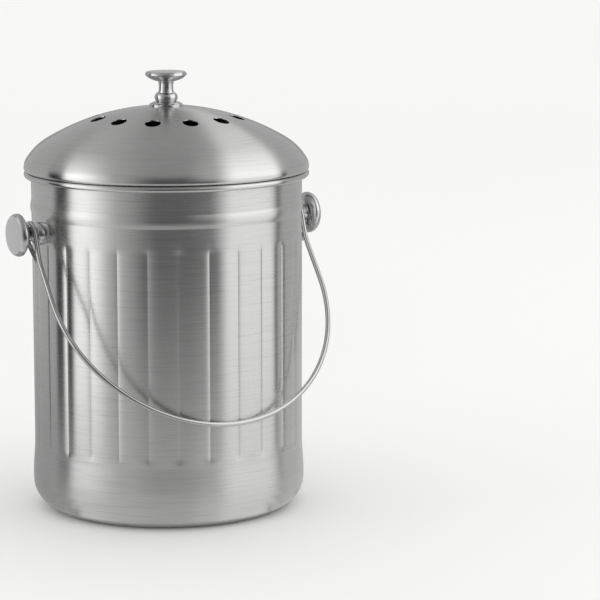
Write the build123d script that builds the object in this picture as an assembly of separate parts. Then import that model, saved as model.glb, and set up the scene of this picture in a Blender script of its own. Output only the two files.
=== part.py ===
from build123d import *
from math import acos, asin, atan2, cos, degrees, hypot, radians, sin, sqrt, tan
import os

# Compost caddy: a fluted steel pail with a wire bail and a domed lift-off lid.
# Millimetres. +Z is up, the origin is the middle of the base, the bail's pivots lie
# along X and the bail hangs down the front, towards -Y.

# ---------------------------------------------------------------- driving dimensions

# pail
PAIL_SHEET = 0.6            # wall thickness
PAIL_HEIGHT = 217.2         # top of the rolled rim
WALL_RADIUS = 86.45         # outside of the plain wall
RIM_OVERHANG = 4.55         # rolled rim beyond the wall
RIM_ROLL_HEIGHT = 3.8
RIM_ROLL_CORNER = 1.85
RIM_ROLL_GAP = 0.5          # between the end of the roll and the wall
RING_ABOVE_PIVOT = 12.3     # crest of the raised ring above the bail's pivots
RING_RISE = 1.0             # before the crest is rounded
RING_SLOPE = 4.3            # from either crease to the crest
RING_CREASE_BEND = 1.0
RING_CREST_BEND = 12.0
FOOT_BAND_SWELL = 1.05      # wider band below the flutes
FOOT_BAND_BLEND = 15.0      # height over which the band narrows to the wall
FOOT_BAND_GAP = 1.5         # plain wall between the band and the flutes
FOOT_CORNER = 18.3
BASE_RECESS_RADIUS = 56.0
BASE_RECESS_DEPTH = 2.4
BASE_RECESS_SLOPE = 3.0
BASE_BEND = 2.0
BAND_BEND = 30.0

# flutes
FLUTE_COUNT = 28
FLUTE_DEPTH = 0.5           # groove below crest
FLUTE_BOTTOM = 46.0
FLUTE_BELOW_PIVOT = 7.5     # top of the flutes below the bail's pivots
FLUTE_FADE = 4.5            # run-out at each end
FLUTE_TURN = -4.1           # degrees that the pattern is turned from the front

# bail and its pivots
PIVOT_DROP = 34.7           # below the top of the rim
WIRE_DIAMETER = 3.1
BAIL_REACH = 145.0          # pivot axis to the middle of the grip
BAIL_WALL_GAP = 0.3         # wire to wall where the bail hangs at rest
EYE_SIDE_GAP = 0.35
EYE_STEM_GAP = 0.12
EYE_LENGTH = 19.5           # pivot axis to where the leg bends out round the eye
EYE_TAIL_LENGTH = 18.5      # pivot axis to the cut end of the tail
EYE_TAIL_GAP = 0.2          # tail to leg
EYE_LEG_BEND = 30.0         # bend radius where the eye straightens into the leg

# knob, collar and their screw, the same on the lid and at the pivots
KNOB_HEIGHT = 13.8
KNOB_RADIUS = 13.35
KNOB_DISC_HEIGHT = 6.4      # from the underside at the stem to the flat face
KNOB_RIM_DROP = 2.3         # widest point below the face
KNOB_FACE_RADIUS = 12.0
KNOB_FACE_CROWN = 0.35
KNOB_RIM_BULGE = 0.3
KNOB_UNDERSIDE_BULGE = 0.9
STEM_FOOT_RADIUS = 5.1
STEM_WAIST_RADIUS = 4.6
STEM_WAIST_HEIGHT = 4.1
STEM_HEAD_RADIUS = 5.2
PIVOT_COLLAR_LENGTH = 8.1
COLLAR_RADIUS = 7.4
COLLAR_INNER_END_RADIUS = 6.3
COLLAR_OUTER_END_RADIUS = 5.6
SCREW_DIAMETER = 4.0
SCREW_GRIP = 7.0            # length of thread inside the knob
SCREW_SPARE_BORE = 0.6      # bore beyond the screw's end
SCREW_CLEARANCE = 0.15
SCREW_HEAD_RADIUS = 3.9
SCREW_HEAD_HEIGHT = 2.4
SCREW_HEAD_ROUNDING = 0.9
SCREW_SLOT_WIDTH = 1.0
SCREW_SLOT_DEPTH = 1.1
WASHER_RADIUS = 4.8
WASHER_THICKNESS = 0.9
SEAT_DEPTH = 1.0            # how far a curved seat is cut into the piece that sits on it

# lid
LID_SHEET = 0.5
LID_OVERHANG = 0.0          # lid beyond the rolled rim
LID_SEAT_GAP = 0.15         # lid to rim when closed
LID_HEM_RADIUS = 2.05       # rolled-under lip
LID_HEM_WIDTH = 4.7         # from the widest part of the lip to its inner edge
DOME_EDGE_RADIUS = 10.0
DOME_EDGE_TURN = 31.0       # degrees of the edge bend
DOME_SHOULDER_RADIUS = 37.0
DOME_CROWN_RADIUS = 150.0
VENT_COUNT = 12
VENT_DIAMETER = 10.0
VENT_CIRCLE_RADIUS = 45.4
VENT_TURN = 21.4            # degrees from the front to the first vent
ROSETTE_RADIUS = 10.8
ROSETTE_HEIGHT = 2.6
ROSETTE_EDGE = 0.6
ROSETTE_BULGE = 0.4

# plug under the lid
PLUG_PLAY = 0.65            # plug to pail, all round
PLUG_ABOVE_PIVOT = 10.85    # underside of the cover above the bail's pivots
PLUG_FLANGE_INSET = 2.15    # flange inside the widest part of the lip
PLUG_SHOULDER_BEND = 1.0
SLEEVE_OVERLAP = 4.0        # sleeve inside the plug's wall
SLEEVE_REACH = 1.5          # sleeve inside the cover's rim
COVER_RIM_HEIGHT = 2.9
COVER_RIM_CORNER = 1.4
COVER_SLIP = 0.08           # cover's rim to sleeve, all round
COVER_SEAM = 0.15
COVER_PLATE_WIDTH = 34.7    # from the plug's outside to the edge of the hole
COVER_HOLE_LIP = 1.3
COVER_HOLE_CORNER = 0.9
FILTER_INSET = 5.2          # pad inside the plug's outside
FILTER_THICKNESS = 8.0
FILTER_EDGE = 0.8

# ---------------------------------------------------------------- derived sizes

WIRE_RADIUS = WIRE_DIAMETER / 2
SCREW_RADIUS = SCREW_DIAMETER / 2
WALL_INNER_RADIUS = WALL_RADIUS - PAIL_SHEET
RIM_RADIUS = WALL_RADIUS + RIM_OVERHANG
FOOT_BAND_RADIUS = WALL_RADIUS + FOOT_BAND_SWELL
PIVOT_HEIGHT = PAIL_HEIGHT - PIVOT_DROP
RING_CREST_HEIGHT = PIVOT_HEIGHT + RING_ABOVE_PIVOT
FLUTE_TOP = PIVOT_HEIGHT - FLUTE_BELOW_PIVOT
BAIL_HALF_WIDTH = WALL_RADIUS + PIVOT_COLLAR_LENGTH + EYE_SIDE_GAP + WIRE_RADIUS
EYE_RADIUS = STEM_FOOT_RADIUS + EYE_STEM_GAP + WIRE_RADIUS
BAIL_REST_ANGLE = degrees(asin((WALL_RADIUS + BAIL_WALL_GAP + WIRE_RADIUS) / BAIL_REACH))
LID_RADIUS = RIM_RADIUS + LID_OVERHANG
LID_BOTTOM = PAIL_HEIGHT + LID_SEAT_GAP
LID_LIP_HEIGHT = LID_BOTTOM + LID_HEM_RADIUS
PLUG_RADIUS = WALL_INNER_RADIUS - PLUG_PLAY
PLUG_FLANGE_RADIUS = LID_RADIUS - PLUG_FLANGE_INSET
COVER_BOTTOM = PIVOT_HEIGHT + PLUG_ABOVE_PIVOT
COVER_HOLE_RADIUS = PLUG_RADIUS - COVER_PLATE_WIDTH
FILTER_RADIUS = PLUG_RADIUS - FILTER_INSET
COVER_RIM_TOP = COVER_BOTTOM + COVER_RIM_HEIGHT
SLEEVE_RADIUS = PLUG_RADIUS - LID_SHEET
COVER_RADIUS = SLEEVE_RADIUS + COVER_SLIP + LID_SHEET
SCREW_HOLE_RADIUS = SCREW_RADIUS + SCREW_CLEARANCE

# centres of the dome's shoulder and crown arcs, each tangent to the one before
EDGE_CENTRE = Vector(LID_RADIUS - DOME_EDGE_RADIUS, LID_LIP_HEIGHT)
EDGE_END = Vector(cos(radians(DOME_EDGE_TURN)), sin(radians(DOME_EDGE_TURN)))
SHOULDER_CENTRE = EDGE_CENTRE - EDGE_END * (DOME_SHOULDER_RADIUS - DOME_EDGE_RADIUS)
CROWN_DROP = sqrt((DOME_CROWN_RADIUS - DOME_SHOULDER_RADIUS) ** 2 - SHOULDER_CENTRE.X ** 2)
CROWN_CENTRE = Vector(0, SHOULDER_CENTRE.Y - CROWN_DROP)
CROWN_END_TURN = degrees(asin(CROWN_DROP / (DOME_CROWN_RADIUS - DOME_SHOULDER_RADIUS)))
DOME_TOP = CROWN_CENTRE.Y + DOME_CROWN_RADIUS


# ---------------------------------------------------------------- helpers


def section(*lines):
    """Upright face bounded by lines that are drawn as (radius, height)."""
    edges = [edge for line in lines for edge in line.edges()]
    return Plane.XZ * make_face(edges)


def sheet(surface, thickness):
    """Shell of revolution: a strip of sheet to the right of the surface line, spun round."""
    strip = surface.offset_2d(thickness, kind=Kind.ARC, side=Side.RIGHT, closed=True)
    return revolve(section(strip), Axis.Z)


def disc(radius, bottom, top):
    """Solid disc about the Z axis."""
    middle = (bottom + top) / 2
    return Pos(0, 0, middle) * Cylinder(radius, top - bottom)


# ---------------------------------------------------------------- pail


def flute_outline(crest_radius, depth, height):
    """Closed outline of the fluted wall: one shallow arc for each panel."""
    pitch = 360 / FLUTE_COUNT
    start = FLUTE_TURN - 90 - pitch / 2
    arcs = []
    for i in range(FLUTE_COUNT):
        groove = start + i * pitch
        first = Vector(crest_radius - depth, 0).rotate(Axis.Z, groove)
        crest = Vector(crest_radius, 0).rotate(Axis.Z, groove + pitch / 2)
        last = Vector(crest_radius - depth, 0).rotate(Axis.Z, groove + pitch)
        arcs.append(ThreePointArc(first, crest, last))
    return Pos(0, 0, height) * make_face(Wire(arcs))


def flute_block(crest_radius):
    """Solid block of the fluted zone, round at both ends and fluted between."""
    sections = [
        flute_outline(crest_radius, 0, FLUTE_BOTTOM - FLUTE_FADE),
        flute_outline(crest_radius, FLUTE_DEPTH, FLUTE_BOTTOM),
        flute_outline(crest_radius, FLUTE_DEPTH, FLUTE_TOP),
        flute_outline(crest_radius, 0, FLUTE_TOP + FLUTE_FADE),
    ]
    return loft(sections, ruled=True)


def pail_surface():
    """Inner surface of the pail from the base's middle, up the wall and round the rim."""
    band = FOOT_BAND_RADIUS - PAIL_SHEET
    band_top = FLUTE_BOTTOM - FLUTE_FADE - FOOT_BAND_GAP
    roll_bottom = PAIL_HEIGHT - RIM_ROLL_HEIGHT
    corners = [
        ((BASE_RECESS_RADIUS, BASE_RECESS_DEPTH + PAIL_SHEET), BASE_BEND),
        ((BASE_RECESS_RADIUS + BASE_RECESS_SLOPE, PAIL_SHEET), BASE_BEND),
        ((band, PAIL_SHEET), FOOT_CORNER - PAIL_SHEET),
        ((band, band_top - FOOT_BAND_BLEND), BAND_BEND),
        ((WALL_INNER_RADIUS, band_top), BAND_BEND),
        ((WALL_INNER_RADIUS, RING_CREST_HEIGHT - RING_SLOPE), RING_CREASE_BEND),
        ((WALL_INNER_RADIUS + RING_RISE, RING_CREST_HEIGHT), RING_CREST_BEND),
        ((WALL_INNER_RADIUS, RING_CREST_HEIGHT + RING_SLOPE), RING_CREASE_BEND),
        ((WALL_INNER_RADIUS, PAIL_HEIGHT), RIM_ROLL_CORNER),
        ((RIM_RADIUS, PAIL_HEIGHT), RIM_ROLL_CORNER),
        ((RIM_RADIUS, roll_bottom), RIM_ROLL_CORNER),
    ]
    points = [(0, BASE_RECESS_DEPTH + PAIL_SHEET)]
    points += [point for point, _ in corners]
    points += [(WALL_RADIUS + RIM_ROLL_GAP, roll_bottom)]
    return FilletPolyline(*points, radius=[bend for _, bend in corners])


def make_pail(outer_flutes, inner_flutes):
    shell = sheet(pail_surface(), PAIL_SHEET)
    zone = disc(RIM_RADIUS, FLUTE_BOTTOM - FLUTE_FADE, FLUTE_TOP + FLUTE_FADE)
    pail = shell - zone + (outer_flutes - inner_flutes)
    holes = Cylinder(SCREW_HOLE_RADIUS, 2 * RIM_RADIUS, rotation=(0, 90, 0))
    return pail - Pos(0, 0, PIVOT_HEIGHT) * holes


# ---------------------------------------------------------------- knobs and fasteners
# These stand on the XY plane, which is where the outer face of their sheet lies.

STACK_HEIGHT = PIVOT_COLLAR_LENGTH      # what lies between the sheet and the knob


def make_knob(base):
    """Round knob with a waisted stem and a blind bore for its screw."""
    stem_top = KNOB_HEIGHT - KNOB_DISC_HEIGHT
    face = KNOB_HEIGHT - KNOB_FACE_CROWN
    waist = (STEM_WAIST_RADIUS, STEM_WAIST_HEIGHT)
    stem = ThreePointArc((STEM_FOOT_RADIUS, 0), waist, (STEM_HEAD_RADIUS, stem_top))
    widest = (KNOB_RADIUS, KNOB_HEIGHT - KNOB_RIM_DROP)
    underside = SagittaArc(stem @ 1, widest, -KNOB_UNDERSIDE_BULGE)
    rim = SagittaArc(widest, (KNOB_FACE_RADIUS, face), -KNOB_RIM_BULGE)
    crown_radius = (KNOB_FACE_RADIUS**2 + KNOB_FACE_CROWN**2) / (2 * KNOB_FACE_CROWN)
    crown_start = degrees(acos(KNOB_FACE_RADIUS / crown_radius))
    crown_centre = (0, KNOB_HEIGHT - crown_radius)
    crown = CenterArc(crown_centre, crown_radius, crown_start, 90 - crown_start)
    core = Polyline(crown @ 1, (0, 0), stem @ 0)
    knob = revolve(section(stem, underside, rim, crown, core), Axis.Z)
    knob -= disc(SCREW_RADIUS, 0, SCREW_GRIP + SCREW_SPARE_BORE)
    return Pos(0, 0, base) * knob


def make_collar(bottom, top):
    """Round spacer bead with a hole through it."""
    widest = (COLLAR_RADIUS, (bottom + top) / 2)
    inner_end = (COLLAR_INNER_END_RADIUS, bottom)
    outer_end = (COLLAR_OUTER_END_RADIUS, top)
    bead = ThreePointArc(inner_end, widest, outer_end)
    hole = Polyline(outer_end, (SCREW_HOLE_RADIUS, top), (SCREW_HOLE_RADIUS, bottom), inner_end)
    return revolve(section(bead, hole), Axis.Z)


def make_rosette():
    """Domed foot under the collar of the lid's knob."""
    edge = Line((ROSETTE_RADIUS, -SEAT_DEPTH), (ROSETTE_RADIUS, ROSETTE_EDGE))
    crown_end = (COLLAR_INNER_END_RADIUS, ROSETTE_HEIGHT)
    crown = SagittaArc(edge @ 1, crown_end, -ROSETTE_BULGE)
    hole_top = (SCREW_HOLE_RADIUS, ROSETTE_HEIGHT)
    hole_bottom = (SCREW_HOLE_RADIUS, -SEAT_DEPTH)
    hole = Polyline(crown @ 1, hole_top, hole_bottom, edge @ 0)
    return revolve(section(edge, crown, hole), Axis.Z)


def make_screw(sheet_thickness):
    """Slotted pan-head screw, its head under the washer."""
    seat = -sheet_thickness - WASHER_THICKNESS
    bottom = seat - SCREW_HEAD_HEIGHT
    head = disc(SCREW_HEAD_RADIUS, bottom, seat)
    head = fillet(head.edges().sort_by(Axis.Z)[0], SCREW_HEAD_ROUNDING)
    slot = Box(2 * SCREW_HEAD_RADIUS, SCREW_SLOT_WIDTH, 2 * SCREW_SLOT_DEPTH)
    shank = disc(SCREW_RADIUS, seat, STACK_HEIGHT + SCREW_GRIP)
    return head - Pos(0, 0, bottom) * slot + shank


def make_washer(sheet_thickness):
    """Washer blank, tall enough for the curved sheet to shape its upper face."""
    bottom = -sheet_thickness - WASHER_THICKNESS
    top = -sheet_thickness + SEAT_DEPTH
    return disc(WASHER_RADIUS, bottom, top) - disc(SCREW_HOLE_RADIUS, bottom, top)


def make_pivot(side, outer_block, inner_block):
    """Pieces of one pivot, with their curved seats cut to the wall."""
    place = Plane((side * WALL_RADIUS, 0, PIVOT_HEIGHT), x_dir=(0, 1, 0), z_dir=(side, 0, 0))
    return {
        "collar": place * make_collar(-SEAT_DEPTH, STACK_HEIGHT) - outer_block,
        "knob": place * make_knob(STACK_HEIGHT),
        "screw": place * make_screw(PAIL_SHEET),
        "washer": place * make_washer(PAIL_SHEET) & inner_block,
    }


# ---------------------------------------------------------------- bail
# The bail is drawn hanging straight down from the origin. Each eye lies in an upright
# plane, where a point has a place across (towards the back) and a place down.


def touch_eye(across, down, turn):
    """Where a straight wire from a point below the eye meets the eye's circle."""
    half = acos(EYE_RADIUS / hypot(across, down))
    angle = atan2(across, down) + turn * half
    return EYE_RADIUS * sin(angle), EYE_RADIUS * cos(angle)


def bail_side(side):
    """Path from the cut end of the tail, round the eye and down to the grip."""

    def at(across, down):
        return Vector(side * BAIL_HALF_WIDTH, across, -down)

    spread = asin(EYE_RADIUS / EYE_LENGTH)
    bend_end = EYE_LENGTH + EYE_LEG_BEND * tan(spread / 2)
    drift = EYE_LEG_BEND - sqrt(EYE_LEG_BEND**2 - (bend_end - EYE_TAIL_LENGTH) ** 2)
    tail_end = (WIRE_DIAMETER + EYE_TAIL_GAP - drift, EYE_TAIL_LENGTH)
    tail_touch = touch_eye(*tail_end, 1)
    leg_touch = touch_eye(0, EYE_LENGTH, -1)
    tail = Line(at(*tail_end), at(*tail_touch))
    eye = ThreePointArc(at(*tail_touch), at(0, -EYE_RADIUS), at(*leg_touch))
    leg_end = at(0, BAIL_REACH - BAIL_HALF_WIDTH)
    leg = FilletPolyline(at(*leg_touch), at(0, EYE_LENGTH), leg_end, radius=EYE_LEG_BEND)
    return tail, eye, leg


def make_bail():
    right = bail_side(1)
    left = bail_side(-1)
    grip = ThreePointArc(right[2] @ 1, (0, 0, -BAIL_REACH), left[2] @ 1)
    lines = [*right, grip, *left]
    path = Wire([edge for line in lines for edge in line.edges()])
    wire_end = Plane(path @ 0, z_dir=path % 0)
    wire = sweep(wire_end * Circle(WIRE_RADIUS), path=path)
    return Pos(0, 0, PIVOT_HEIGHT) * Rot(X=-BAIL_REST_ANGLE) * wire


# ---------------------------------------------------------------- lid


def dome_surface():
    """Outer surface of the dome from its top to the inner edge of the rolled lip."""
    crown = CenterArc(CROWN_CENTRE, DOME_CROWN_RADIUS, 90, CROWN_END_TURN - 90)
    shoulder_turn = DOME_EDGE_TURN - CROWN_END_TURN
    shoulder = CenterArc(SHOULDER_CENTRE, DOME_SHOULDER_RADIUS, CROWN_END_TURN, shoulder_turn)
    edge = CenterArc(EDGE_CENTRE, DOME_EDGE_RADIUS, DOME_EDGE_TURN, -DOME_EDGE_TURN)
    hem_centre = (LID_RADIUS - LID_HEM_RADIUS, LID_LIP_HEIGHT)
    hem = CenterArc(hem_centre, LID_HEM_RADIUS, 0, -90)
    leaf = Line(hem @ 1, (LID_RADIUS - LID_HEM_WIDTH, LID_BOTTOM))
    return Wire([crown, shoulder, edge, hem, leaf])


def make_dome():
    dome = sheet(dome_surface(), LID_SHEET)
    tool = Cylinder(VENT_DIAMETER / 2, DOME_TOP)
    vents = PolarLocations(VENT_CIRCLE_RADIUS, VENT_COUNT, start_angle=VENT_TURN - 90)
    dome -= [place * Pos(0, 0, DOME_TOP) * tool for place in vents]
    return dome - disc(SCREW_HOLE_RADIUS, DOME_TOP - SEAT_DEPTH, DOME_TOP + SEAT_DEPTH)


def make_skirt():
    """Plug ring: its flange lies on the rolled lip, and a sleeve in it enters the cover."""
    flange = LID_BOTTOM + LID_SHEET
    edge = COVER_RIM_TOP + COVER_SEAM
    surface = FilletPolyline(
        (PLUG_FLANGE_RADIUS, flange),
        (PLUG_RADIUS, flange),
        (PLUG_RADIUS, edge),
        radius=PLUG_SHOULDER_BEND,
    )
    sleeve_top = edge + SLEEVE_OVERLAP
    sleeve_bottom = edge - SLEEVE_REACH
    sleeve = disc(SLEEVE_RADIUS, sleeve_bottom, sleeve_top)
    sleeve -= disc(SLEEVE_RADIUS - LID_SHEET, sleeve_bottom, sleeve_top)
    return sheet(surface, LID_SHEET) + sleeve


def make_cover():
    """Ring-shaped cover with a turned-up rim and a rounded edge to its hole."""
    surface = FilletPolyline(
        (COVER_RADIUS, COVER_RIM_TOP),
        (COVER_RADIUS, COVER_BOTTOM),
        (COVER_HOLE_RADIUS, COVER_BOTTOM),
        (COVER_HOLE_RADIUS, COVER_BOTTOM + COVER_HOLE_LIP),
        radius=[COVER_RIM_CORNER, COVER_HOLE_CORNER],
    )
    return sheet(surface, LID_SHEET)


def make_filter():
    """Fibre pad that lies on the turned-up edge of the cover's hole."""
    bottom = COVER_BOTTOM + COVER_HOLE_LIP
    pad = disc(FILTER_RADIUS, bottom, bottom + FILTER_THICKNESS)
    return fillet(pad.edges().filter_by(GeomType.CIRCLE), FILTER_EDGE)


def make_lid_knob():
    """Pieces of the lid's knob, with their curved seats cut to the dome."""
    place = Pos(0, 0, DOME_TOP)
    crown = Pos(0, 0, CROWN_CENTRE.Y) * Sphere(DOME_CROWN_RADIUS)
    crown_inside = Pos(0, 0, CROWN_CENTRE.Y) * Sphere(DOME_CROWN_RADIUS - LID_SHEET)
    return {
        "rosette": place * make_rosette() - crown,
        "collar": place * make_collar(ROSETTE_HEIGHT, STACK_HEIGHT),
        "knob": place * make_knob(STACK_HEIGHT),
        "screw": place * make_screw(LID_SHEET),
        "washer": place * make_washer(LID_SHEET) & crown_inside,
    }


# ---------------------------------------------------------------- all pieces


def make_parts():
    outer_flutes = flute_block(WALL_RADIUS)
    inner_flutes = flute_block(WALL_INNER_RADIUS)
    outer_block = outer_flutes + disc(WALL_RADIUS, FLUTE_TOP + FLUTE_FADE, PAIL_HEIGHT)
    inner_block = inner_flutes + disc(WALL_INNER_RADIUS, FLUTE_TOP + FLUTE_FADE, PAIL_HEIGHT)
    parts = {"pail": make_pail(outer_flutes, inner_flutes), "bail": make_bail()}
    for name, side in (("left", -1), ("right", 1)):
        for piece, solid in make_pivot(side, outer_block, inner_block).items():
            parts[f"pivot_{piece}_{name}"] = solid
    parts["lid_dome"] = make_dome()
    parts["lid_skirt"] = make_skirt()
    for piece, solid in make_lid_knob().items():
        parts[f"lid_{piece}"] = solid
    parts["filter_cover"] = make_cover()
    parts["charcoal_filter"] = make_filter()
    return parts


os.makedirs("parts", exist_ok=True)
for node, solid in make_parts().items():
    export_step(solid, f"parts/{node}.step")
    print(f"{node:20} volume {solid.volume:10.1f} mm3")
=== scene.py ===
# %% [markdown]
# # A fluted steel compost caddy
#
# This lesson dresses a compost caddy: a pail of brushed stainless steel with pressed
# flutes, a bail of bent wire, and a domed lid that lifts off and carries a charcoal
# filter in its plug. Nearly every piece is turned or pressed from sheet, so nearly every
# piece here starts as a line of edges that is spun round the upright axis.
#
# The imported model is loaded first. It fixes where every piece is, and everything below
# is measured from it or named in millimetres.

# %% Load the frame
from math import acos, asin, atan2, cos, degrees, hypot, pi, radians, sin, sqrt, tan

import bpy
from mathutils import Matrix, Vector


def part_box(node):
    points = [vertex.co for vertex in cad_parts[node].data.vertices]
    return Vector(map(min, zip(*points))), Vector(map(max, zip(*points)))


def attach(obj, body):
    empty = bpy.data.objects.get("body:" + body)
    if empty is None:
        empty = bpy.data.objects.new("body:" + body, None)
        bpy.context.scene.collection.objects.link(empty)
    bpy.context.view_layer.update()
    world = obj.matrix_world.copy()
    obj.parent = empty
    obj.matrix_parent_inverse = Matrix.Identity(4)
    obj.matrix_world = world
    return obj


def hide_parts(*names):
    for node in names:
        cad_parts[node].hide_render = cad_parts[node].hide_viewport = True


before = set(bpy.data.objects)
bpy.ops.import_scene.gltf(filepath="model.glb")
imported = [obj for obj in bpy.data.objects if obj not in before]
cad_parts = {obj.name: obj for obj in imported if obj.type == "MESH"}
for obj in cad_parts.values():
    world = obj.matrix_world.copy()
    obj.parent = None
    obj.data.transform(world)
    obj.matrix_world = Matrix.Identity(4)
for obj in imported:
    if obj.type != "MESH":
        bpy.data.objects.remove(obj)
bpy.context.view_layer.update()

MM = 0.001
print("nodes:", len(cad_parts))

# %% [markdown]
# ## Sizes
#
# The main sizes are read off the imported model, so the looks follow it if it changes.
# `part_box` gives a node's corners in metres, and `size_of` in millimetres. The caddy is drawn in
# millimetres, like the sheet-metal drawing it would be made from.

# %% Sizes from the frame, in millimetres


def size_of(node):
    """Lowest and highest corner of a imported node, in millimetres."""
    low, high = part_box(node)
    return low / MM, high / MM


RIM_RADIUS = size_of("pail")[1].x
RIM_TOP = size_of("pail")[1].z
LID_BOTTOM = size_of("lid_dome")[0].z
LID_RADIUS = size_of("lid_dome")[1].x
DOME_TOP = size_of("lid_dome")[1].z
COVER_BOTTOM = size_of("filter_cover")[0].z
COVER_RADIUS = size_of("filter_cover")[1].x
COVER_TOP = size_of("filter_cover")[1].z
KNOB_TOP = size_of("lid_knob")[1].z
KNOB_BOTTOM = size_of("lid_knob")[0].z
PIVOT_HEIGHT = (size_of("pivot_knob_left")[0].z + size_of("pivot_knob_left")[1].z) / 2
BAIL_OUTSIDE = size_of("bail")[1].x

SHEET = 0.6
CURL_REACH = 4.55           # how far the curl at the mouth stands out from the wall
WALL_OUTSIDE = RIM_RADIUS - CURL_REACH
WALL_INSIDE = WALL_OUTSIDE - SHEET
print(f"rim {RIM_RADIUS:.2f} at {RIM_TOP:.2f}, dome top {DOME_TOP:.2f}, pivots {PIVOT_HEIGHT:.2f}")

# %% [markdown]
# ## A line with rounded corners
#
# A sheet-metal section is straight runs joined by bends. `rounded` takes the corners
# as (radius, height, bend) and gives points along it, with a real arc at each bend.
# `draw_line` then makes the edges as by hand: one vertex, pulled out point by point.

# %% Draw a section
ARC_STEP = 7.5


def rounded(corners, arc_step=ARC_STEP):
    """Points along a line through the corners, with one every arc_step degrees of bend."""
    points = []
    for i, (radius, height, bend) in enumerate(corners):
        here = Vector((radius, height))
        if bend == 0:
            points.append(here)
            continue
        back = (Vector(corners[i - 1][:2]) - here).normalized()
        ahead = (Vector(corners[i + 1][:2]) - here).normalized()
        half = back.angle(ahead) / 2
        centre = here + (back + ahead).normalized() * bend / sin(half)
        start = here + back * bend / tan(half) - centre
        turn = pi - 2 * half
        if back.x * ahead.y - back.y * ahead.x > 0:
            turn = -turn
        steps = max(2, round(degrees(abs(turn)) / arc_step))
        for k in range(steps + 1):
            points.append(centre + Matrix.Rotation(turn * k / steps, 2) @ start)
    return points


def arc(centre, radius, start, end, steps):
    """Points on an arc, from one angle to another, in degrees."""
    angles = [radians(start + (end - start) * k / steps) for k in range(steps + 1)]
    return [Vector((centre[0] + radius * cos(a), centre[1] + radius * sin(a))) for a in angles]


def start_clean():
    """Object mode with nothing selected, because an operator acts on all that is."""
    if bpy.context.object and bpy.context.object.mode != "OBJECT":
        bpy.ops.object.mode_set(mode="OBJECT")
    bpy.ops.object.select_all(action="DESELECT")


def draw_line(name, points):
    """A new object, left in edit mode: a line of edges through (radius, height) points."""
    start_clean()
    bpy.ops.mesh.primitive_plane_add(size=MM)
    line = bpy.context.object
    line.name = name
    line.data.name = name
    bpy.ops.object.mode_set(mode="EDIT")
    bpy.ops.mesh.merge(type="CENTER")
    bpy.ops.transform.translate(value=(points[0][0] * MM, 0, points[0][1] * MM))
    for a, b in zip(points, points[1:]):
        step = ((b[0] - a[0]) * MM, 0, (b[1] - a[1]) * MM)
        bpy.ops.mesh.extrude_vertices_move(TRANSFORM_OT_translate={"value": step})
    return line


# %% [markdown]
# ## From a line to sheet metal
#
# Spinning the line makes the surface, doubles at the seam and the pole are merged, and
# the normals are made to agree. Only then does Solidify give the sheet its thickness:
# with `side` 1 the sheet lies outside the drawn surface, with -1 inside it.

# %% Spin, thicken and smooth
EDGE_ANGLE = radians(38)
MERGE = 0.002 * MM


def spin(steps):
    """Turns the line being edited once round the Z axis and closes it."""
    bpy.ops.mesh.select_all(action="SELECT")
    bpy.ops.mesh.spin(steps=steps, angle=2 * pi, center=(0, 0, 0), axis=(0, 0, 1))
    bpy.ops.mesh.select_all(action="SELECT")
    bpy.ops.mesh.remove_doubles(threshold=MERGE)
    bpy.ops.mesh.normals_make_consistent(inside=False)
    bpy.ops.object.mode_set(mode="OBJECT")


def apply_modifier(piece, kind, **settings):
    """Adds one modifier with its settings and applies it."""
    bpy.context.view_layer.objects.active = piece
    modifier = piece.modifiers.new(kind.title(), kind)
    for key, value in settings.items():
        setattr(modifier, key, value)
    bpy.ops.object.modifier_apply(modifier=modifier.name)


def thicken(piece, thickness, side):
    """Gives a surface the thickness of its sheet."""
    apply_modifier(
        piece, "SOLIDIFY", thickness=thickness * MM, offset=side, use_even_offset=True
    )


def smooth(piece, angle=EDGE_ANGLE):
    """Smooth shading everywhere but at real edges."""
    start_clean()
    piece.select_set(True)
    bpy.context.view_layer.objects.active = piece
    bpy.ops.object.shade_smooth_by_angle(angle=angle)


def report(piece):
    """Prints what a finished piece measures."""
    corners = [piece.matrix_world @ Vector(c) for c in piece.bound_box]
    size = [(max(c[i] for c in corners) - min(c[i] for c in corners)) / MM for i in range(3)]
    faces = len(piece.data.polygons)
    print(f"{piece.name}: {size[0]:.1f} x {size[1]:.1f} x {size[2]:.1f} mm, {faces} faces")


# %% [markdown]
# ## The pail
#
# The real pail is drawn from one disc of stainless steel. Its base is pressed up in the
# middle so that it stands on a ring, the foot is a large soft bend, a band above it is a
# little wider than the wall, one ring is rolled in under the mouth, and the edge is
# curled outwards. The line below is its inner surface, so that the curl's outside is
# drawn exactly, and the sheet is added on the other side.

# %% Pail: the section
BASE_LIFT = 2.4
BASE_RING = 59.0
BASE_SLOPE = 3.0
BASE_BEND = 2.0
BAND_STEP = 1.05            # how far the band stands out from the wall
FOOT_RADIUS = WALL_OUTSIDE + BAND_STEP - SHEET
FOOT_BEND = 18.3 - SHEET
BAND_TOP = 25.0
BAND_SLOPE = 15.0
BAND_BEND = 30.0
FLUTE_LOW = 41.5
FLUTE_HIGH = PIVOT_HEIGHT - 3.0
FLUTE_FADE = 6.0
FADE_ROWS = 6
WALL_ROWS = 6
ROW_STEP = 18.0
RING_CREST = PIVOT_HEIGHT + 12.3
RING_RISE = 1.0
RING_SLOPE = 4.3
RING_MARGIN = 1.5
RING_FOOT_BEND = 1.0
RING_CREST_BEND = 12.0
RING_ARC_STEP = 3.5         # finer than the rest, because light shows every facet of it
CURL_HEIGHT = 3.8
CURL_BEND = 1.85
CURL_GAP = 0.5              # the curl's cut edge stops this short of the wall

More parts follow.
